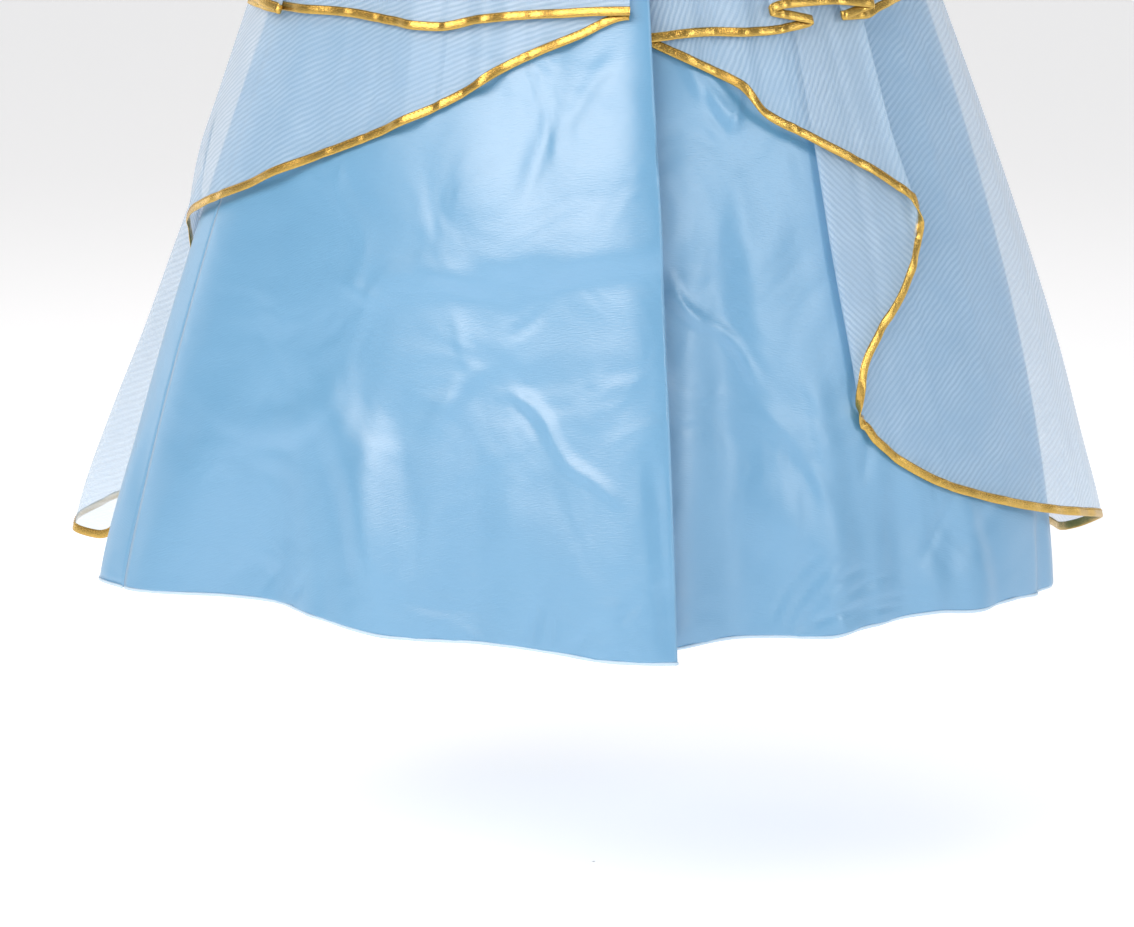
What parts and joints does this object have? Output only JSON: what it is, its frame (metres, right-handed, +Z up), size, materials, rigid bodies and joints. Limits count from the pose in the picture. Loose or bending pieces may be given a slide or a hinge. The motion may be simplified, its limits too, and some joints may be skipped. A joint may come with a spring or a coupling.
{
  "type": "princess costume dress",
  "caption": "Child's sleeveless princess costume dress: satin bell skirt with a front pleat under two sheer organza tiers edged in gold binding.",
  "frame": {"origin": "midpoint between the shoulder straps, on their undersides at the neck edge, where the wearer's shoulders hold the dress", "axes": "+Z up, the front of the dress faces -Y, +X to the right when looking at its front"},
  "size_m": [0.7063, 0.6102, 1.0172],
  "materials": {
    "satin": "light blue polyester satin, soft sheen",
    "organza": "stiff sheer pale blue organza",
    "gold_binding": "shiny gold metallic folded binding"
  },
  "bodies": {
    "root": {"bodice_front": "satin", "bodice_back_left": "satin", "bodice_back_right": "satin", "skirt_front": "satin", "skirt_back_left": "satin", "skirt_back_right": "satin", "overskirt_long_left": "organza", "overskirt_long_right": "organza", "overskirt_short_left": "organza", "overskirt_short_right": "organza", "binding_long_left": "gold_binding", "binding_long_right": "gold_binding", "binding_short_left": "gold_binding", "binding_short_right": "gold_binding"}
  },
  "joints": []
}
